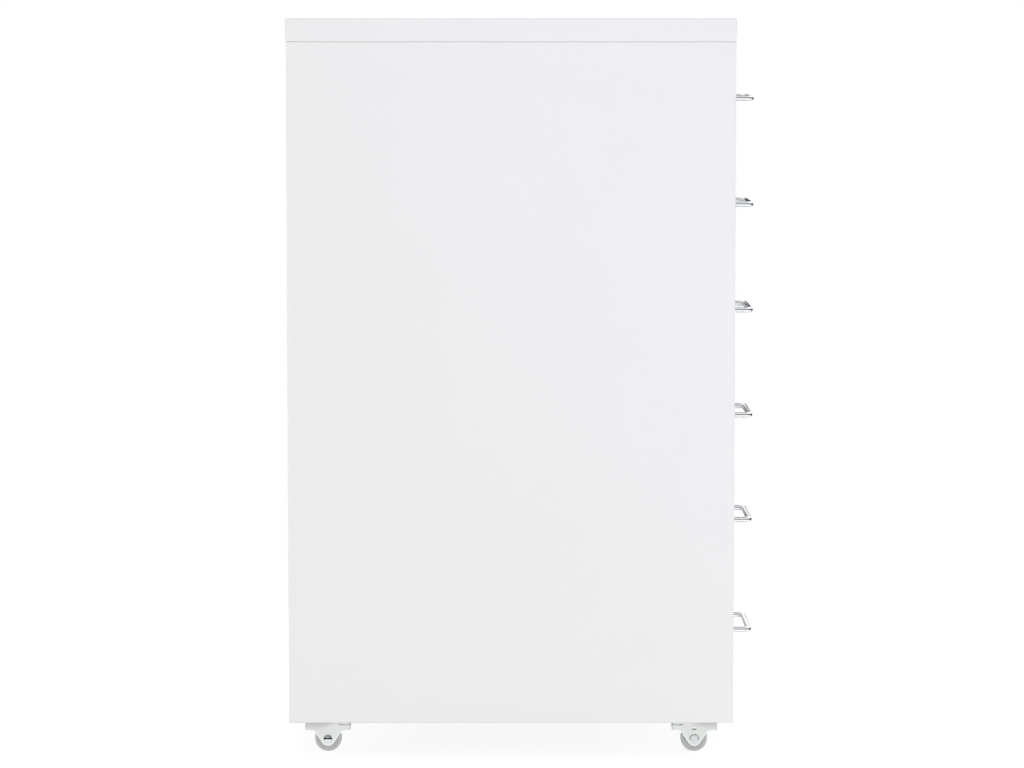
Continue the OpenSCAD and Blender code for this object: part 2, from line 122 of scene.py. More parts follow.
# Each finish has two tints that drift over the part, a roughness that drifts with them, and a fine grain
metalNoise = {"drift": {"Detail": 3.0}, "grain": {"Detail": 2.0}}
mouldedNoise = {"drift": {"Detail": 4.0, "Roughness": 0.6}, "grain": {"Detail": 1.0}}
finishLooks = {
    # sheet steel with a sprayed and baked satin powder coat: one even skin with soft wide reflections
    # and a very fine orange peel, which is about 1.5 mm but drawn coarser so that it shows
    "powder_coat": {
        "name": "satinPowderCoat", "tints": ["#e8e8e8", "#e6e6e6"], "driftMm": 140,
        "roughness": [0.33, 0.39], "grainMm": 2.4, "grainDepthMm": 0.02,
        "drift": {"Detail": 2.0}, "grain": {"Detail": 1.5, "Roughness": 0.4}, "surface": {}},
    # chrome over polished rod: a clear mirror
    "chrome_plate": {
        "name": "chromePlate", "tints": ["#e3e5e8", "#d9dbde"], "driftMm": 18,
        "roughness": [0.05, 0.09], "grainMm": 3.0, "grainDepthMm": 0.0015,
        "surface": {"Metallic": 1.0}, **metalNoise},
    # zinc on pressed sheet: pale and satin, with faint cool and warm patches of passivation
    "zinc_plate": {
        "name": "zincPlate", "tints": ["#e9f1ec", "#f2f1ef"], "driftMm": 14,
        "roughness": [0.26, 0.36], "grainMm": 0.9, "grainDepthMm": 0.01,
        "surface": {"Metallic": 1.0}, **metalNoise},
    # nickel on the rivet heads: a softer mirror than chrome
    "nickel_plate": {
        "name": "nickelPlate", "tints": ["#d0d2d8", "#c3c4c8"], "driftMm": 5,
        "roughness": [0.12, 0.2], "grainMm": 1.0, "grainDepthMm": 0.003,
        "surface": {"Metallic": 1.0}, **metalNoise},
    # bright zinc on stamped and rolled screws, bolts and nuts
    "bright_steel": {
        "name": "brightZincSteel", "tints": ["#c5c8cb", "#b9bcc0"], "driftMm": 4,
        "roughness": [0.26, 0.38], "grainMm": 0.6, "grainDepthMm": 0.006,
        "surface": {"Metallic": 1.0}, **metalNoise},
    # moulded rubber: matt, with a little dust in it
    "grey_rubber": {
        "name": "greyRubber", "tints": ["#b9bbbb", "#c9cac9"], "driftMm": 5,
        "roughness": [0.68, 0.8], "grainMm": 0.7, "grainDepthMm": 0.02,
        "surface": {"Specular IOR Level": 0.35}, **mouldedNoise},
    # moulded hub plastic with the fine even texture of an eroded mould
    "grey_plastic": {
        "name": "greyPlastic", "tints": ["#cdcfd0", "#c6c8ca"], "driftMm": 9,
        "roughness": [0.42, 0.5], "grainMm": 0.5, "grainDepthMm": 0.008,
        "surface": {"Specular IOR Level": 0.5}, **mouldedNoise},
}


def startMaterial(name):
    made = bpy.data.materials.new(name)
    made.use_nodes = True
    tree = made.node_tree
    tree.nodes.clear()
    return made, tree, addNode(tree, "ShaderNodeTexCoord").outputs["Object"]


def makeFinish(look):
    made, tree, place = startMaterial(look["name"])

    def noise(width, values):  # features about this many millimetres wide
        return addNode(tree, "ShaderNodeTexNoise", {
            "Vector": place, "Scale": 1000 / width, **values}).outputs["Fac"]

    drift = noise(look["driftMm"], look["drift"])
    colour = addNode(tree, "ShaderNodeMix", {
        0: drift, 6: linearColour(look["tints"][0]), 7: linearColour(look["tints"][1])}, data_type="RGBA")
    roughness = addNode(tree, "ShaderNodeMapRange", {
        "Value": drift, "To Min": look["roughness"][0], "To Max": look["roughness"][1]})
    bump = addNode(tree, "ShaderNodeBump", {
        "Strength": 1.0, "Distance": mm(look["grainDepthMm"]),
        "Height": noise(look["grainMm"], look["grain"])})
    shader = addNode(tree, "ShaderNodeBsdfPrincipled", {
        "Base Color": colour.outputs[2], "Roughness": roughness.outputs["Result"],
        "Normal": bump.outputs["Normal"], **look["surface"]})
    addNode(tree, "ShaderNodeOutputMaterial", {"Surface": shader.outputs[0]})
    return made


finishes = {slotName: makeFinish(look) for slotName, look in finishLooks.items()}
for part in frame["record"]["subparts"]:
    for slot in frame["nodes"][part["node"]].material_slots:
        slot.material = finishes[part["material_slot"]]
print("finishes made and given to the CAD nodes")


def startTree(name, sizes):
    tree = bpy.data.node_groups.new(name, "GeometryNodeTree")
    tree.interface.new_socket("Geometry", in_out="OUTPUT", socket_type="NodeSocketGeometry")
    tree.interface.new_socket("Geometry", in_out="INPUT", socket_type="NodeSocketGeometry")
    for label, kind in sizes.items():
        tree.interface.new_socket(label, in_out="INPUT", socket_type="NodeSocket" + kind)
    return tree, addNode(tree, "NodeGroupInput").outputs


def joinPieces(tree, *pieces):
    joined = addNode(tree, "GeometryNodeJoinGeometry")
    for piece in pieces:
        tree.links.new(piece, joined.inputs[0])
    return joined.outputs[0]


def setOnPoints(tree, given, piece, turn):  # copies look along their point's facing, turned by chance
    facing = addNode(tree, "GeometryNodeInputNamedAttribute", {"Name": "facing"}, data_type="FLOAT_VECTOR")
    aligned = addNode(tree, "FunctionNodeAlignRotationToVector", {"Vector": facing.outputs[0]})
    chance = addNode(tree, "FunctionNodeRandomValue", {2: 0.0, 3: turn, "Seed": given["Seed"]})
    spin = addNode(tree, "ShaderNodeCombineXYZ", {"Z": chance.outputs[1]})
    turned = addNode(tree, "FunctionNodeEulerToRotation", {0: spin.outputs[0]})
    rotation = addNode(tree, "FunctionNodeRotateRotation", {
        0: aligned.outputs[0], 1: turned.outputs[0]}, rotation_space="LOCAL")
    return addNode(tree, "GeometryNodeInstanceOnPoints", {
        "Points": given["Geometry"], "Instance": piece, "Rotation": rotation.outputs[0]}).outputs[0]


def endTree(tree, geometry, finish):
    whole = addNode(tree, "GeometryNodeRealizeInstances", {"Geometry": geometry})
    painted = addNode(tree, "GeometryNodeSetMaterial", {"Geometry": whole.outputs[0], "Material": finish})
    addNode(tree, "NodeGroupOutput", {"Geometry": painted.outputs[0]})
    return tree


def growPiece(name, start, tree, values):  # runs the tree once and keeps the result as a plain mesh
    source = newObject(name + "Source", start)
    modifier = source.modifiers.new("grow", "NODES")
    modifier.node_group = tree
    for item in tree.interface.items_tree:
        if item.in_out == "INPUT" and item.name in values:
            modifier[item.identifier] = values[item.name]
    graph = bpy.context.evaluated_depsgraph_get()
    mesh = bpy.data.meshes.new_from_object(source.evaluated_get(graph), depsgraph=graph)
    source.modifiers.clear()
    bpy.data.objects.remove(source)
    mesh.name = name
    return newObject(name, mesh)


def givePiece(piece, body, slotName, *nodes):
    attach(piece, body)
    if nodes:
        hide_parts(*nodes)


# Bow handles: one rod bent through four points
handleSizes = {
    "spacing": mm(96),
    "reach": mm(22.5),
    "rod": mm(5),
    "bend": mm(6),
    "bendSteps": 14,
    "sides": 40,
}


def makeRodTree():
    tree, given = startTree("bentRod", {
        "Rod diameter": "Float", "Bend radius": "Float", "Bend steps": "Int", "Sides": "Int",
        "Finish": "Material"})
    path = addNode(tree, "GeometryNodeMeshToCurve", {"Mesh": given["Geometry"]})
    bent = addNode(tree, "GeometryNodeFilletCurve", {
        "Curve": path.outputs[0], "Count": given["Bend steps"],
        "Radius": given["Bend radius"]}, mode="POLY")
    section = addNode(tree, "GeometryNodeCurvePrimitiveCircle", {
        "Resolution": given["Sides"],
        "Radius": calculate(tree, "MULTIPLY", given["Rod diameter"], 0.5)})
    rod = addNode(tree, "GeometryNodeCurveToMesh", {
        "Curve": bent.outputs[0], "Profile Curve": section.outputs[0], "Fill Caps": True})
    smooth = addNode(tree, "GeometryNodeSetShadeSmooth", {"Geometry": rod.outputs[0]})
    return endTree(tree, smooth.outputs[0], given["Finish"])


rodTree = makeRodTree()
legX = handleSizes["spacing"] / 2
for drawer in drawers:
    low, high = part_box(drawer + "_handle")
    middle, foot = (low.z + high.z) / 2, high.y
    barY = foot - handleSizes["reach"] + handleSizes["rod"] / 2
    bow = newMesh("bowPath", [(-legX, foot, middle), (-legX, barY, middle), (legX, barY, middle),
                              (legX, foot, middle)], edges=[(0, 1), (1, 2), (2, 3)])
    handle = growPiece(drawer + "_bowHandle", bow, rodTree, {
        "Rod diameter": handleSizes["rod"], "Bend radius": handleSizes["bend"],
        "Bend steps": handleSizes["bendSteps"], "Sides": handleSizes["sides"],
        "Finish": finishes["chrome_plate"]})
    givePiece(handle, drawer, "chrome_plate", drawer + "_handle")
print("bow handles made")


# Screws and bolts: one tree joins head, core and thread, and sets them on points
screwSizes = {
    "handleScrew": {"thread": mm(2.9), "pitch": mm(0.5), "length": mm(20),
                    "headD": mm(5.6), "headH": mm(2.2)},
    "lidScrew": {"thread": mm(2.9), "pitch": mm(0.5), "length": mm(6),
                 "headD": mm(5.6), "headH": mm(2.2)},
    "casterBolt": {"thread": mm(3.9), "pitch": mm(0.7), "length": mm(7),
                   "headD": mm(7.4), "headH": mm(2.4)},
}
threadShape = {
    "ridge": 0.6,  # the ridge's radius as a share of the pitch
    "ridgeSides": 3,
    "turnSteps": 12,
    "coreSides": 20,
}
seeds = {"lidScrews": 11, "casterBolts": 12, "casterNuts": 21, "axleRivets": 22,
         "rearWelds": 31, "baseWelds": 32, "trayWelds": 33}


def makeScrewTree(shape):
    tree, given = startTree("crossHeadScrew", {
        "Head": "Object", "Thread diameter": "Float", "Pitch": "Float", "Length": "Float",
        "Seed": "Int", "Finish": "Material"})
    ridge = calculate(tree, "MULTIPLY", given["Pitch"], shape["ridge"])
    outer = calculate(tree, "MULTIPLY", given["Thread diameter"], 0.5)
    core = calculate(tree, "SUBTRACT", outer, ridge)
    spiral = addNode(tree, "GeometryNodeCurveSpiral", {
        "Resolution": shape["turnSteps"], "Start Radius": core, "End Radius": core,
        "Rotations": calculate(tree, "DIVIDE", given["Length"], given["Pitch"]),
        "Height": given["Length"]})
    section = addNode(tree, "GeometryNodeCurvePrimitiveCircle", {
        "Resolution": shape["ridgeSides"], "Radius": ridge})
    thread = addNode(tree, "GeometryNodeCurveToMesh", {
        "Curve": spiral.outputs[0], "Profile Curve": section.outputs[0], "Fill Caps": True})
    rod = addNode(tree, "GeometryNodeMeshCylinder", {
        "Vertices": shape["coreSides"], "Radius": core, "Depth": given["Length"]})
    lift = addNode(tree, "ShaderNodeCombineXYZ", {"Z": calculate(tree, "MULTIPLY", given["Length"], 0.5)})
    raised = addNode(tree, "GeometryNodeTransform", {
        "Geometry": rod.outputs[0], "Translation": lift.outputs[0]})
    head = addNode(tree, "GeometryNodeObjectInfo", {"Object": given["Head"]})
    screw = joinPieces(tree, thread.outputs[0], raised.outputs[0], head.outputs["Geometry"])
    return endTree(tree, setOnPoints(tree, given, screw, math.tau), given["Finish"])


crossShape = {  # lengths are shares of the head's diameter, heights of its height
    "rings": 18,
    "sides": 48,
    "rimHeight": 1 / 3,
    "slotWidth": 1 / 7,
    "slotLength": 0.55,
    "slotDepth": 0.5,
}


def crossHead(name, diameter, height, shape):  # a domed head below z = 0, with a cross recess in its top
    rings, sides, rim = shape["rings"], shape["sides"], height * shape["rimHeight"]
    radius = diameter / 2
    slotW, slotL = diameter * shape["slotWidth"], diameter * shape["slotLength"]
    ways = [(math.cos(math.tau * k / sides), math.sin(math.tau * k / sides)) for k in range(sides)]
    points, faces = [], []
    for j in range(rings + 1):
        r = radius * math.sqrt(j / rings)
        dome = rim + (height - rim) * (1 - (r / radius) ** 2)
        for x, y in ways:
            narrow, wide = sorted((abs(r * x), abs(r * y)))
            inside = narrow < slotW / 2 and wide < slotL / 2
            points.append((r * x, r * y, -dome + (height * shape["slotDepth"] if inside else 0)))
    points += [(radius * x, radius * y, 0) for x, y in ways]
    for j in range(rings + 1):
        here, below = j * sides, (j + 1) * sides
        for k in range(sides):
            after = (k + 1) % sides
            faces.append((here + k, here + after, below + after, below + k))
    faces.append(tuple((rings + 1) * sides + k for k in range(sides)))
    return closeMesh(newMesh(name, points, faces=faces))


def pointsFacing(name, places, *ways):  # bare points that look one way, or each its own way
    mesh = newMesh(name, places)
    facing = mesh.attributes.new("facing", "FLOAT_VECTOR", "POINT")
    for k, item in enumerate(facing.data):
        item.vector = ways[k % len(ways)]
    return mesh


def makeScrews(name, kind, places, facing, seed, body, node):
    sizes = screwSizes[kind]
    head = newObject(kind + "Head", crossHead(kind + "Head", sizes["headD"], sizes["headH"], crossShape))
    screws = growPiece(name, pointsFacing(name + "Points", places, facing), screwTree, {
        "Head": head, "Thread diameter": sizes["thread"], "Pitch": sizes["pitch"],
        "Length": sizes["length"], "Seed": seed, "Finish": finishes["bright_steel"]})
    bpy.data.objects.remove(head)
    givePiece(screws, body, "bright_steel", node)


screwTree = makeScrewTree(threadShape)
for number, drawer in enumerate(drawers):
    low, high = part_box(drawer + "_screws")
    middle, seatY = (low.z + high.z) / 2, high.y - screwSizes["handleScrew"]["headH"]
    makeScrews(drawer + "_handleScrews", "handleScrew", [(x, seatY, middle) for x in (-legX, legX)],
               (0, -1, 0), number, drawer, drawer + "_screws")

low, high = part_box("lid_screws")
edge = screwSizes["lidScrew"]["headD"] / 2
seatZ = low.z + screwSizes["lidScrew"]["headH"]
lidPlaces = [(x, y, seatZ) for x in (low.x + edge, high.x - edge)
             for y in (low.y + edge, (low.y + high.y) / 2, high.y - edge)]
makeScrews("lidScrews", "lidScrew", lidPlaces, (0, 0, 1), seeds["lidScrews"], "cabinet", "lid_screws")

low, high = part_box("caster_bolts")
edge = screwSizes["casterBolt"]["headD"] / 2
seatZ = low.z + screwSizes["casterBolt"]["headH"]
boltSpacing = mm(33)
boltYs = [low.y + edge, low.y + edge + boltSpacing, high.y - edge - boltSpacing, high.y - edge]
boltPlaces = [(x, y, seatZ) for x in (low.x + edge, high.x - edge) for y in boltYs]
makeScrews("casterBolts", "casterBolt", boltPlaces, (0, 0, 1), seeds["casterBolts"],
           "cabinet", "caster_bolts")
print("screws and bolts made")


def makeRepeatTree():  # sets a piece on points: nuts, rivets and weld marks
    tree, given = startTree("repeatedPiece", {
        "Piece": "Object", "Turn": "Float", "Seed": "Int", "Finish": "Material"})
    piece = addNode(tree, "GeometryNodeObjectInfo", {"Object": given["Piece"]})
    placed = setOnPoints(tree, given, piece.outputs["Geometry"], given["Turn"])
    return endTree(tree, placed, given["Finish"])


def repeatPiece(name, mesh, points, turn, seed, slotName):
    piece = newObject(name + "Piece", mesh)
    made = growPiece(name, points, repeatTree, {
        "Piece": piece, "Turn": turn, "Seed": seed, "Finish": finishes[slotName]})
    bpy.data.objects.remove(piece)
    return made


repeatTree = makeRepeatTree()

nutSizes = {
    "corners": mm(8),
    "height": mm(3.2),
    "bore": mm(4),
    "chamfer": mm(0.45),
    "boreMouth": 1.15,  # share of the bore, at both faces
    "faceRound": 0.98,  # share of the hexagon's inner circle
    "sides": 48,
}


def nutMesh(sizes):  # a hexagon whose corners are turned off at both faces
    sixth = math.pi / 3
    apothem = sizes["corners"] / 2 * math.cos(sixth / 2)
    h, bore, sides, chamfer = sizes["height"], sizes["bore"] / 2, sizes["sides"], sizes["chamfer"]
    mouth = bore * sizes["boreMouth"]
    points = []
    for k in range(sides):
        turn = math.tau * k / sides
        hexagon = apothem / math.cos(turn % sixth - sixth / 2)
        face = min(hexagon, apothem * sizes["faceRound"])
        section = [(bore, chamfer), (mouth, 0), (face, 0), (hexagon, chamfer),
                   (hexagon, h - chamfer), (face, h), (mouth, h), (bore, h - chamfer)]
        points += [(r * math.cos(turn), r * math.sin(turn), z) for r, z in section]
    return closeMesh(newMesh("hexNut", points, faces=stripFaces(sides, len(section), True)), smoothAngle=25)


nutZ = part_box("caster_nuts")[0].z
nutPoints = pointsFacing("nutPoints", [(x, y, nutZ) for x, y, z in boltPlaces], (0, 0, 1))
nuts = repeatPiece("casterNuts", nutMesh(nutSizes), nutPoints, math.pi / 3, seeds["casterNuts"],
                   "bright_steel")
givePiece(nuts, "cabinet", "bright_steel", "caster_nuts")

rivetSizes = {
    "pin": mm(4),
    "between": mm(20),
    "flatD": mm(8.8),
    "flatH": mm(1.2),
    "domeD": mm(8.2),
    "domeH": mm(2.4),
    "bevel": mm(0.7),
    "bevelSteps": [(1, 0), (0.1, 0.9), (0, 1.1)],  # in from the rim and up from the face, in bevels
    "relief": mm(0.1),  # a small chamfer under each head
    "domeSteps": 12,
    "sides": 64,
}


def rivetMesh(sizes):  # along Z from the flat head's face to the top of the dome
    flatR, bevel, relief = sizes["flatD"] / 2, sizes["bevel"], sizes["relief"]
    pinR, domeR, domeH, span = sizes["pin"] / 2, sizes["domeD"] / 2, sizes["domeH"], sizes["between"]
    face = -sizes["flatH"]
    profile = [(0, face)] + [(flatR - bevel * a, face + bevel * b) for a, b in sizes["bevelSteps"]]
    profile += [(flatR, -relief), (flatR - relief, 0), (pinR, 0), (pinR, span), (domeR - relief, span)]
    ball = (domeR ** 2 + domeH ** 2) / (2 * domeH)
    widest = math.asin(domeR / ball)
    for k in range(sizes["domeSteps"] + 1):
        turn = widest * (1 - k / sizes["domeSteps"])
        profile.append((ball * math.sin(turn), span + domeH - ball + ball * math.cos(turn)))
    return turnedMesh("axleRivet", profile, sizes["sides"])


def axleOf(corner):  # the axle's middle, and the way along X from its flat rivet head to the domed one
    low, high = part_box("caster_tyre_" + corner)
    return (low + high) / 2, 1 if corner in ("front_left", "rear_right") else -1


axles = [axleOf(corner) for corner in corners]
rivetPlaces = [(centre.x - way * rivetSizes["between"] / 2, centre.y, centre.z) for centre, way in axles]
rivetPoints = pointsFacing("rivetPoints", rivetPlaces, *[(way, 0, 0) for centre, way in axles])
rivets = repeatPiece("axleRivets", rivetMesh(rivetSizes), rivetPoints, math.tau, seeds["axleRivets"],
                     "nickel_plate")
givePiece(rivets, "cabinet", "nickel_plate", "axle_rivets")

weldSizes = {
    "ring": mm(2.3),
    "height": mm(0.14),
    "sunk": mm(0.05),
    "section": [(0, 0.2), (0.45, 0.25), (0.68, 1), (0.8, 0.95)],  # shares of ring and height
    "sides": 24,
    "flangeIn": mm(7.5),  # from the body's side to the middle of the folded flange
    "rearMm": (28, 57.5, 11),  # first mark, step and count, up the back
    "baseMm": (27, 60, 7),  # the same along the base
    "trayMm": (40, 6),  # step and count across a drawer's front
    "trayDrop": mm(6),
    "trayScale": 0.75,
    "traySheet": mm(0.6),
}


def weldMesh(sizes, scale=1):  # the shallow ring that a spot welder leaves, with its base in the sheet
    ring = sizes["ring"] * scale
    profile = [(ring * a, sizes["height"] * b) for a, b in sizes["section"]]
    profile += [(ring, -sizes["sunk"]), (0, -sizes["sunk"])]
    return turnedMesh("weldMark", profile, sizes["sides"])


def makeWelds(name, places, facing, seed, body, scale=1):
    marks = repeatPiece(name, weldMesh(weldSizes, scale), pointsFacing(name + "Points", places, facing),
                        0.0, seed, "powder_coat")
    givePiece(marks, body, "powder_coat")


bodyLow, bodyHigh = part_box("side_panel_left")
flangeX = -bodyLow.x - weldSizes["flangeIn"]
first, step, count = weldSizes["rearMm"]
rearPlaces = [(s * flangeX, bodyHigh.y, bodyLow.z + mm(first + step * k))
              for s in (-1, 1) for k in range(count)]
makeWelds("rearWeldMarks", rearPlaces, (0, 1, 0), seeds["rearWelds"], "cabinet")
first, step, count = weldSizes["baseMm"]
basePlaces = [(s * flangeX, bodyLow.y + mm(first + step * k), bodyLow.z)
              for s in (-1, 1) for k in range(count)]
makeWelds("baseWeldMarks", basePlaces, (0, 0, -1), seeds["baseWelds"], "cabinet")
step, count = weldSizes["trayMm"]
trayXs = [mm(step * (k - (count - 1) / 2)) for k in range(count)]
for drawer in drawers:
    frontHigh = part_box(drawer + "_front")[1]
    wallY, markZ = frontHigh.y + weldSizes["traySheet"], frontHigh.z - weldSizes["trayDrop"]
    makeWelds(drawer + "_weldMarks", [(x, wallY, markZ) for x in trayXs], (0, 1, 0),
              seeds["trayWelds"], drawer, weldSizes["trayScale"])
print("nuts, rivets and weld marks made")


# Caster brackets: a blank is cut from flat sheet, its edges are rolled, and it is bent into a channel
bracketSizes = {
    "length": mm(42),
    "width": mm(20),
    "sheet": mm(1.5),
    "fold": mm(2.2),
    "foldSteps": 6,
    "axleDrop": mm(20.2),  # from the plate's upper face to the axle
    "skirt": mm(12.6),
    "skirtCorner": mm(1.1),
    "earWidth": mm(26),
    "earRound": mm(6.5),
    "earFillet": mm(5.5),
    "axleHole": mm(4.1),
    "boltHole": mm(4.4),
    "holeSides": 32,
    "edge": mm(0.65),  # radius of the rolled outer edge
    "edgeSteps": 5,
    "holeEdge": mm(0.12),
    "hold": mm(0.25),  # a ring of flat sheet inside the edge, which keeps the shading of the faces flat
    "slotMiddle": mm(15, 6.7),  # along the cheek, and below the plate's upper face
    "slot": mm(9.6, 0.9, 1.0),  # length, width and sag of the curved slot
    "slotSteps": 16,
    "window": mm(3.7, 1.2, 10.8),  # the nib's window: length, height, and its middle's depth
    "windowCorner": 1 / 3,  # share of the window's height
    "nib": mm(3.4, 1.5, 0.75),  # length, height and reach of the lanced nib above its window
    "nibGrid": (8, 16),  # rows and columns
    "nibCrest": 0.8,  # how far up the nib reaches out most
    "nibLip": 0.5,  # share of its reach at its lower end
    "nibRoot": 1 / 3,  # how deep it is rooted, as a share of the sheet
}


def roundCorners(turns, stepDegrees=9):  # (x, y, radius) corners turned into one closed outline
    outline = []
    for k, (x, y, radius) in enumerate(turns):
        here = Vector((x, y))
        toLast = (Vector(turns[k - 1][:2]) - here).normalized()
        toNext = (Vector(turns[(k + 1) % len(turns)][:2]) - here).normalized()
        half = toLast.angle(toNext) / 2
        centre = here + (toLast + toNext).normalized() * radius / math.sin(half)
        first = here + toLast * radius / math.tan(half) - centre
        last = here + toNext * radius / math.tan(half) - centre
        sweep = math.atan2(first.cross(last), first.dot(last))
        steps = max(1, round(abs(sweep) / math.radians(stepDegrees)))
        for j in range(steps + 1):
            turn = sweep * j / steps
            outline.append((centre.x + first.x * math.cos(turn) - first.y * math.sin(turn),
                            centre.y + first.x * math.sin(turn) + first.y * math.cos(turn)))
    return outline


def offsetLoop(loop, distance, sharpest=0.3):  # moves a closed outline to the left of its own direction
    moved = []
    for k, point in enumerate(loop):
        before = (Vector(point) - Vector(loop[k - 1])).normalized()
        after = (Vector(loop[(k + 1) % len(loop)]) - Vector(point)).normalized()
        along = (before + after).normalized()
        reach = distance / max(sharpest, along.dot(before))
        moved.append((point[0] - along.y * reach, point[1] + along.x * reach))
    return moved


def roundHole(x, y, diameter, sides):  # clockwise, so that the sheet lies on its left
    turns = [math.tau * k / sides for k in range(sides)]
    return [(x + diameter / 2 * math.cos(a), y - diameter / 2 * math.sin(a)) for a in turns]


def onBlank(sizes, depth):  # from a depth below the plate's upper face to a place across the blank
    return sizes["width"] / 2 - sizes["fold"] + sizes["fold"] * math.pi / 2 + depth - sizes["fold"]


def blankOutline(sizes):
    halfL, halfEar, skirt = sizes["length"] / 2, sizes["earWidth"] / 2, onBlank(sizes, sizes["skirt"])
    rise, ear = sizes["axleDrop"] - sizes["skirt"], sizes["earRound"]
    lean = math.acos(ear / math.hypot(halfEar, rise)) - math.atan2(rise, halfEar)
    tip = onBlank(sizes, sizes["axleDrop"]) + ear / math.sin(lean)  # where the ear's edges would meet
    corner, fillet = sizes["skirtCorner"], sizes["earFillet"]
    side = [(skirt, -halfL, corner), (skirt, -halfEar, fillet), (tip, 0, ear),
            (skirt, halfEar, fillet), (skirt, halfL, corner)]
    return roundCorners(side + [(-s, -y, r) for s, y, r in side])


def curvedSlot(sizes, way):  # in the cheek on this side
    length, width, sag = sizes["slot"]
    ball = (length ** 2 / 4 + sag ** 2) / (2 * sag)
    spread = math.asin(length / 2 / ball)
    alongY, depth = sizes["slotMiddle"]
    middle, half = onBlank(sizes, depth) - ball, sizes["slotSteps"] // 2
    arc = [spread * (k / half - 1) for k in range(2 * half + 1)]
    turns = [(ball + width / 2, a) for a in arc] + [(ball - width / 2, a) for a in reversed(arc)]
    loop = [(way * (middle + r * math.cos(a)), alongY + r * math.sin(a)) for r, a in turns]
    return loop if way < 0 else loop[::-1]


def nibWindow(sizes):  # in the -X cheek
    length, height, depth = sizes["window"]
    middle, corner = -onBlank(sizes, depth), height * sizes["windowCorner"]
    turns = [(middle + a * height / 2, b * length / 2, corner)
             for a, b in [(-1, -1), (-1, 1), (1, 1), (1, -1)]]
    return roundCorners(turns, stepDegrees=30)


def addRim(shape, loop, edge, sizes):  # the rolled edge along one outline, with the two rings it ends in
    sheet, steps = sizes["sheet"], sizes["edgeSteps"]
    turns = [math.pi / 2 * k / steps for k in range(steps + 1)]
    rings = [(edge + sizes["hold"], 0)]
    rings += [(edge * (1 - math.sin(a)), edge * (1 - math.cos(a))) for a in turns]
    rings += [(inward, sheet - depth) for inward, depth in reversed(rings)]
    rows = []
    for inward, depth in rings:
        rows.append([shape.verts.new((x, y, depth)) for x, y in offsetLoop(loop, inward)])
    for upper, lower in zip(rows, rows[1:]):
        for k in range(len(loop)):
            shape.faces.new((upper[k - 1], upper[k], lower[k], lower[k - 1]))
    return rows[0], rows[-1]


def foldBlank(shape, sizes):
    fold, flat = sizes["fold"], sizes["width"] / 2 - sizes["fold"]
    across = flat + fold * math.pi / 2  # where a cheek begins, measured over the outer face
    for k in range(sizes["foldSteps"] + 1):
        place = flat + (across - flat) * k / sizes["foldSteps"]
        for way in (-1, 1):
            bmesh.ops.bisect_plane(shape, geom=shape.verts[:] + shape.edges[:] + shape.faces[:],
                                   plane_co=(way * place, 0, 0), plane_no=(1, 0, 0))
    for vertex in shape.verts:
        s, y, depth = vertex.co
        far = min(max(abs(s) - flat, 0), across - flat) / fold  # how far round the fold
        reach = fold - depth
        x = min(abs(s), flat) + reach * math.sin(far)
        z = sizes["axleDrop"] - fold + reach * math.cos(far) - max(abs(s) - across, 0)
        vertex.co = (math.copysign(x, s), y, z)


def addNib(shape, sizes):  # a closed swelling that is rooted in the -X cheek
    length, height, reach = sizes["nib"]
    foot = sizes["axleDrop"] - sizes["window"][2] + sizes["window"][1] / 2
    cheek = -sizes["width"] / 2
    root, crest, lip = cheek + sizes["sheet"] * sizes["nibRoot"], sizes["nibCrest"], sizes["nibLip"]
    rows, columns = sizes["nibGrid"]
    wide = columns + 1
    grid = []
    for j in range(rows + 1):
        up = j / rows
        swell = lip + (1 - lip) / crest * up
        if up >= crest:
            swell = math.sqrt(1 - ((up - crest) / (1 - crest)) ** 2)
        for k in range(wide):
            side = 2 * k / columns - 1
            place = (length / 2 * side, foot + height * up)
            out = reach * math.sqrt(1 - side ** 4) * swell
            grid.append((shape.verts.new((cheek - out, *place)), shape.verts.new((root, *place))))
    for j in range(rows):
        for k in range(columns):
            here = j * wide + k
            a, b, c, d = (grid[n] for n in (here, here + 1, here + wide + 1, here + wide))
            shape.faces.new((a[0], b[0], c[0], d[0]))
            shape.faces.new((a[1], d[1], c[1], b[1]))
    border = list(range(wide)) + [j * wide + columns for j in range(1, rows + 1)]
    border += [rows * wide + k for k in range(columns - 1, -1, -1)]
    border += [j * wide for j in range(rows - 1, 0, -1)]
    for here, there in zip(border, border[1:] + border[:1]):
        shape.faces.new((grid[here][0], grid[here][1], grid[there][1], grid[there][0]))


def bracketMesh(sizes):  # on the axle's middle, with the nib on the -X cheek and the slots towards +Y
    axle, sides = onBlank(sizes, sizes["axleDrop"]), sizes["holeSides"]
    holes = [roundHole(0, way * boltSpacing / 2, sizes["boltHole"], sides) for way in (-1, 1)]
    holes += [roundHole(way * axle, 0, sizes["axleHole"], sides) for way in (-1, 1)]
    holes += [curvedSlot(sizes, way) for way in (-1, 1)] + [nibWindow(sizes)]
    shape = bmesh.new()
    rims = [addRim(shape, blankOutline(sizes), sizes["edge"], sizes)]
    rims += [addRim(shape, loop, sizes["holeEdge"], sizes) for loop in holes]
    for rings in zip(*rims):
        edges = [shape.edges.get((ring[k - 1], ring[k])) for ring in rings for k in range(len(ring))]
        bmesh.ops.triangle_fill(shape, use_beauty=True, edges=edges)
    foldBlank(shape, sizes)
    addNib(shape, sizes)
    mesh = bpy.data.meshes.new("bracket")
    shape.to_mesh(mesh)
    shape.free()
    return closeMesh(mesh, smoothAngle=30)


for corner, (centre, way) in zip(corners, axles):
    bracket = newObject("bracket_" + corner, bracketMesh(bracketSizes))
    for vertex in bracket.data.vertices:
        x, y, z = vertex.co
        vertex.co = (centre.x + way * x, centre.y + way * y, centre.z + z)
    bracket.data.materials.append(finishes["zinc_plate"])
    givePiece(bracket, "cabinet", "zinc_plate", "caster_bracket_" + corner)
print("caster brackets made")

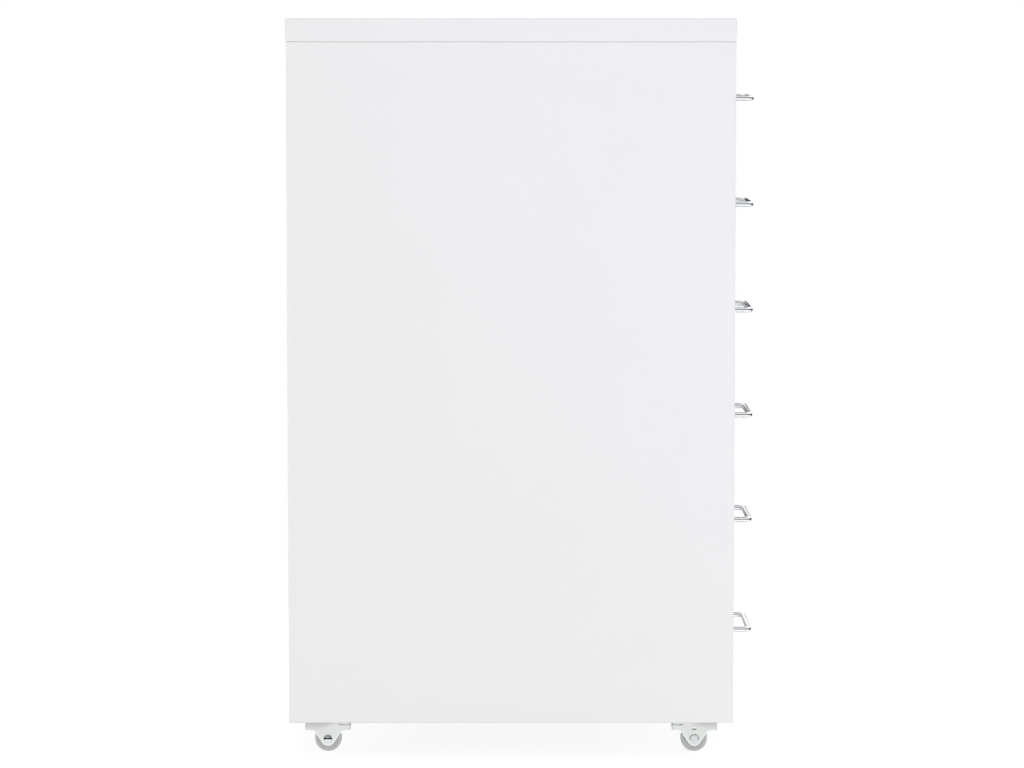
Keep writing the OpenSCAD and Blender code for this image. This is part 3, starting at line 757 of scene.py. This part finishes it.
tyreSizes = {
    "radius": mm(12.5),
    "width": mm(11),
    "bore": mm(7.5),
    "boreEdge": [mm(0, 0.5), mm(0.35, 0.12), mm(0.8, 0)],  # outwards, and in from the side
    "grooveR": mm(9.5),
    "grooveDepth": mm(0.6),
    "grooveW": mm(1.1),
    "shoulder": mm(1.8),
    "shoulderSteps": 6,
    "crown": mm(0.15),
    "crownStep": (0.3, 0.4),  # this share of the crown, at this share of the half width
    "sides": 96,
}


def mirroredRing(name, half, middle, sides):  # half of a section, its middle points, and the half mirrored
    return turnedMesh(name, half + middle + [(r, -z) for r, z in reversed(half)], sides, ring=True)


def tyreMesh(sizes):  # half of the section runs from the bore to the crown
    r, w, s, bore = sizes["radius"], sizes["width"] / 2, sizes["shoulder"], sizes["bore"]
    groove, depth, slope = sizes["grooveR"], sizes["grooveDepth"], sizes["grooveW"] / 2
    half = [(bore + out, w - inward) for out, inward in sizes["boreEdge"]]
    half += [(groove - slope, w), (groove - slope / 2, w - depth), (groove + slope / 2, w - depth),
             (groove + slope, w)]
    for k in range(sizes["shoulderSteps"] + 1):
        turn = math.radians(90 - 90 / sizes["shoulderSteps"] * k)
        half.append((r - sizes["crown"] - s + s * math.cos(turn), w - s + s * math.sin(turn)))
    low, along = sizes["crownStep"]
    half.append((r - sizes["crown"] * low, w * along))
    return mirroredRing("tyre", half, [(r, 0)], sizes["sides"])


hubSizes = {
    "outer": mm(7.5),
    "width": mm(11),
    "rim": mm(0.9),
    "boss": mm(5),
    "bossWidth": mm(16.4),
    "bossTaper": mm(0.3),
    "bossBevel": mm(0.2, 0.25),
    "bore": mm(2.05),
    "bevel": mm(0.2),
    "fillet": mm(0.3),
    "web": mm(3),
    "ribs": 8,
    "ribT": mm(0.8),
    "ribSunk": mm(0.6),  # in rim and boss together
    "ribInset": mm(1.6),  # below the rim's faces, both together
    "sides": 64,
}


def hubMesh(sizes):  # rim, thin web and boss in one turned section
    w, web, bossW = sizes["width"] / 2, sizes["web"] / 2, sizes["bossWidth"] / 2
    bore, boss, rimR = sizes["bore"], sizes["boss"], sizes["outer"] - sizes["rim"]
    bevel, fillet, tapered = sizes["bevel"], sizes["fillet"], sizes["boss"] - sizes["bossTaper"]
    bevelR, bevelW = sizes["bossBevel"]
    half = [(bore, bossW - bevel), (bore + bevel, bossW), (tapered - bevelR, bossW),
            (tapered, bossW - bevelW), (boss, web + fillet), (boss + fillet, web), (rimR - fillet, web),
            (rimR, web + fillet), (rimR, w - bevel), (rimR + bevel, w), (sizes["outer"], w)]
    return mirroredRing("hub", half, [], sizes["sides"])


def makeHubTree():  # the turned hub with a ring of ribs through its web
    tree, given = startTree("ribbedHub", {
        "Ribs": "Int", "Rib size": "Vector", "Ring radius": "Float", "Finish": "Material"})
    rib = addNode(tree, "GeometryNodeMeshCube", {"Size": given["Rib size"]})
    circle = addNode(tree, "GeometryNodeMeshCircle", {
        "Vertices": given["Ribs"], "Radius": given["Ring radius"]})
    place = addNode(tree, "GeometryNodeInputPosition")
    outward = addNode(tree, "FunctionNodeAlignRotationToVector", {"Vector": place.outputs[0]},
                      axis="X", pivot_axis="Z")
    ring = addNode(tree, "GeometryNodeInstanceOnPoints", {
        "Points": circle.outputs[0], "Instance": rib.outputs[0], "Rotation": outward.outputs[0]})
    return endTree(tree, joinPieces(tree, given["Geometry"], ring.outputs[0]), given["Finish"])


def turnToAxle(mesh, centre):  # from the Z axis to the axle, which runs along X
    for vertex in mesh.vertices:
        x, y, z = vertex.co
        vertex.co = (centre.x + z, centre.y + y, centre.z - x)


hubTree = makeHubTree()
ribLength = hubSizes["outer"] - hubSizes["rim"] - hubSizes["boss"] + hubSizes["ribSunk"]
ribSize = (ribLength, hubSizes["ribT"], hubSizes["width"] - hubSizes["ribInset"])
ribRing = (hubSizes["outer"] - hubSizes["rim"] + hubSizes["boss"]) / 2
for corner, (centre, way) in zip(corners, axles):
    body = "wheel_" + corner
    tyre = newObject("tyre_" + corner, tyreMesh(tyreSizes))
    turnToAxle(tyre.data, centre)
    tyre.data.materials.append(finishes["grey_rubber"])
    givePiece(tyre, body, "grey_rubber", "caster_tyre_" + corner)
    hub = growPiece("hub_" + corner, hubMesh(hubSizes), hubTree, {
        "Ribs": hubSizes["ribs"], "Rib size": ribSize, "Ring radius": ribRing,
        "Finish": finishes["grey_plastic"]})
    turnToAxle(hub.data, centre)
    givePiece(hub, body, "grey_plastic", "caster_hub_" + corner)
print("wheels made")


studio = {
    "floorSize": 30,
    "floorColour": "#f0f0f0",
    "bounce": 0.06,  # extra light that the floor sends up close to the part
    "bounceReach": [0.5, 1.2],
    "shadeColour": "#8a8a8a",  # how dark the camera sees the shadow
    "shadeGlow": 0.84,
    "shadeReach": [0.7, 1.3],  # the shadow fades out between these distances, in metres
    "ambient": 0.47,
    "ambientColour": "#ffffff",
    # what mirrors see from low on the right to high on the left: a white sweep,
    # the dark room about eye level, a white sweep again, and a grey ceiling
    "mirrorBands": [(0.0, 1.0), (0.333, 1.0), (0.362, 0.03), (0.638, 0.03), (0.667, 1.0), (0.935, 1.0),
                    (0.96, 0.12), (1.0, 0.15)],
    "mirrorTilt": 12,  # degrees, towards +X
    "mirrorStrength": 1.3,
    # cards that only mirrors see: spread in degrees, and the share of it that the card fills fully
    "darkCard": {"way": (0.731, 0, -0.682), "spread": 20, "full": 0.7, "grey": 0.05},
    "paleCard": {"way": (0.951, -0.303, -0.06), "spread": 13.5, "full": 0.85, "grey": 0.66},
}
lampTarget = (0, 0.01, 0.36)
lamps = {
    "leftKey": {"place": (-4.2, -0.5, 0.5), "size": (2.4, 0.8), "watts": 72, "colour": "#ffffff"},
    "frontKey": {"place": (0.9, -3.3, 1.2), "size": (1.8, 1.2), "watts": 37, "colour": "#ffffff"},
    "rightFill": {"place": (3.4, -0.6, 1.2), "size": (1.8, 1.2), "watts": 38, "colour": "#ffffff"},
    "backFill": {"place": (-0.5, 3.4, 1.2), "size": (1.8, 1.2), "watts": 36, "colour": "#ffffff"},
    "ceiling": {"place": (0.2, 0.01, 2.9), "size": (2.0, 2.0), "watts": 10, "colour": "#ffffff"},
}
# A wide bluish beam whose soft edge crosses the left side from its upper rear to its lower front
beam = {
    "place": (-3.2, -0.9, 1.14),
    "target": (-0.14, -0.9, 1.14),
    "width": 42.8,  # degrees
    "softEdge": 0.07,
    "softness": 0.16,
    "watts": 34,
    "colour": "#b49cff",
}


def seenStraight(tree, rays):  # 1 for what the camera sees itself, also through clear pieces
    return calculate(tree, "MAXIMUM", rays["Is Camera Ray"], rays["Is Transmission Ray"])


def makeFloor(values):
    half = values["floorSize"] / 2
    around = [(-half, -half, 0), (half, -half, 0), (half, half, 0), (-half, half, 0)]
    floor = newObject("floor", newMesh("floor", around, faces=[(0, 1, 2, 3)]))
    made, tree, place = startMaterial("paleStudioFloor")
    rays = addNode(tree, "ShaderNodeLightPath").outputs
    grey = addNode(tree, "ShaderNodeBsdfDiffuse", {"Color": linearColour(values["floorColour"])})
    faint = addNode(tree, "ShaderNodeBsdfDiffuse", {"Color": linearColour(values["shadeColour"])})
    glow = addNode(tree, "ShaderNodeEmission", {"Strength": values["shadeGlow"]})
    shaded = addNode(tree, "ShaderNodeAddShader", {0: faint.outputs[0], 1: glow.outputs[0]})
    white = addNode(tree, "ShaderNodeEmission", {"Strength": 1.0})
    reach = addNode(tree, "ShaderNodeVectorMath", {0: place}, operation="LENGTH").outputs["Value"]
    sent = addNode(tree, "ShaderNodeMapRange", {
        "Value": reach, "From Min": values["bounceReach"][0], "From Max": values["bounceReach"][1],
        "To Min": values["bounce"], "To Max": 0.0})
    lift = addNode(tree, "ShaderNodeEmission", {"Strength": sent.outputs["Result"]})
    plain = addNode(tree, "ShaderNodeAddShader", {0: grey.outputs[0], 1: lift.outputs[0]})
    faded = addNode(tree, "ShaderNodeMapRange", {
        "Value": reach, "From Min": values["shadeReach"][0], "From Max": values["shadeReach"][1]})
    bright = addNode(tree, "ShaderNodeMixShader", {
        0: faded.outputs["Result"], 1: shaded.outputs[0], 2: white.outputs[0]})
    whole = addNode(tree, "ShaderNodeMixShader", {
        0: seenStraight(tree, rays), 1: plain.outputs[0], 2: bright.outputs[0]})
    # mirrors look through the floor at the bands of the surroundings
    through = addNode(tree, "ShaderNodeBsdfTransparent")
    whole = addNode(tree, "ShaderNodeMixShader", {
        0: rays["Is Glossy Ray"], 1: whole.outputs[0], 2: through.outputs[0]})
    addNode(tree, "ShaderNodeOutputMaterial", {"Surface": whole.outputs[0]})
    floor.data.materials.append(made)


def makeWorld(values):
    world = bpy.data.worlds.new("studio")
    bpy.context.scene.world = world
    world.use_nodes = True
    tree = world.node_tree
    tree.nodes.clear()
    rays = addNode(tree, "ShaderNodeLightPath").outputs
    way = addNode(tree, "ShaderNodeTexCoord").outputs["Generated"]

    def alongWay(direction):
        return addNode(tree, "ShaderNodeVectorMath", {
            0: way, 1: direction}, operation="DOT_PRODUCT").outputs["Value"]

    def overCard(card, outside, inside):  # one value off the card and another on it
        return addNode(tree, "ShaderNodeMapRange", {
            "Value": alongWay(card["way"]), "From Min": math.cos(math.radians(card["spread"])),
            "From Max": math.cos(math.radians(card["spread"] * card["full"])),
            "To Min": outside, "To Max": inside}).outputs["Result"]

    lean = math.radians(values["mirrorTilt"])
    share = addNode(tree, "ShaderNodeMapRange", {
        "Value": alongWay((math.sin(lean), 0, math.cos(lean))), "From Min": -1.0, "From Max": 1.0})
    ramp = addNode(tree, "ShaderNodeValToRGB", {0: share.outputs["Result"]})
    for spot, grey in values["mirrorBands"][2:]:
        ramp.color_ramp.elements.new(spot)
    for element, (spot, grey) in zip(ramp.color_ramp.elements, values["mirrorBands"]):
        element.position = spot
        element.color = (grey, grey, grey, 1)
    dark, pale, strength = values["darkCard"], values["paleCard"], values["mirrorStrength"]
    carded = addNode(tree, "ShaderNodeMix", {
        0: overCard(pale, 0.0, 1.0), 6: ramp.outputs["Color"],
        7: [pale["grey"]] * 3 + [1]}, data_type="RGBA")
    mirrored = addNode(tree, "ShaderNodeBackground", {
        "Color": carded.outputs[2], "Strength": overCard(dark, strength, strength * dark["grey"])})
    white = addNode(tree, "ShaderNodeBackground", {"Color": (1, 1, 1, 1), "Strength": 1.0})
    ambient = addNode(tree, "ShaderNodeBackground", {
        "Color": linearColour(values["ambientColour"]), "Strength": values["ambient"]})
    lit = addNode(tree, "ShaderNodeMixShader", {
        0: rays["Is Glossy Ray"], 1: ambient.outputs[0], 2: mirrored.outputs[0]})
    whole = addNode(tree, "ShaderNodeMixShader", {
        0: seenStraight(tree, rays), 1: lit.outputs[0], 2: white.outputs[0]})
    addNode(tree, "ShaderNodeOutputWorld", {"Surface": whole.outputs[0]})


def aimAt(thing, place, target):
    thing.location = place
    thing.rotation_euler = (Vector(target) - Vector(place)).to_track_quat("-Z", "Y").to_euler()


def hangLamp(light, values, target):
    light.energy = values["watts"]
    light.color = linearColour(values["colour"])[:3]
    lamp = newObject(light.name, light)
    lamp.visible_glossy = False  # the mirror bands stand for the lamps
    aimAt(lamp, values["place"], target)


makeFloor(studio)
makeWorld(studio)
spot = bpy.data.lights.new("bluishBeam", "SPOT")
spot.spot_size = math.radians(beam["width"])
spot.spot_blend = beam["softEdge"]
spot.shadow_soft_size = beam["softness"]
hangLamp(spot, beam, beam["target"])
for name, values in lamps.items():
    panel = bpy.data.lights.new(name, "AREA")
    panel.shape = "RECTANGLE"
    panel.size, panel.size_y = values["size"]
    hangLamp(panel, values, lampTarget)


# The camera looks at the left side from just below the height of the lid
cameraView = {
    "place": (-3.687, 0.0101, 0.656),
    "tilt": 4.943,  # degrees below the horizon
    "lens": 135.3,
    "sensor": 36,
    "farEnd": 100,
}
cameraData = bpy.data.cameras.new("camera")
cameraData.lens = cameraView["lens"]
cameraData.sensor_width = cameraView["sensor"]
cameraData.clip_end = cameraView["farEnd"]
camera = newObject("camera", cameraData)
tilt = math.radians(cameraView["tilt"])
ahead = Vector((math.cos(tilt), 0, -math.sin(tilt)))
aimAt(camera, cameraView["place"], Vector(cameraView["place"]) + ahead)
bpy.context.scene.camera = camera
bpy.context.scene.view_settings.view_transform = "Standard"
print("studio and camera set")
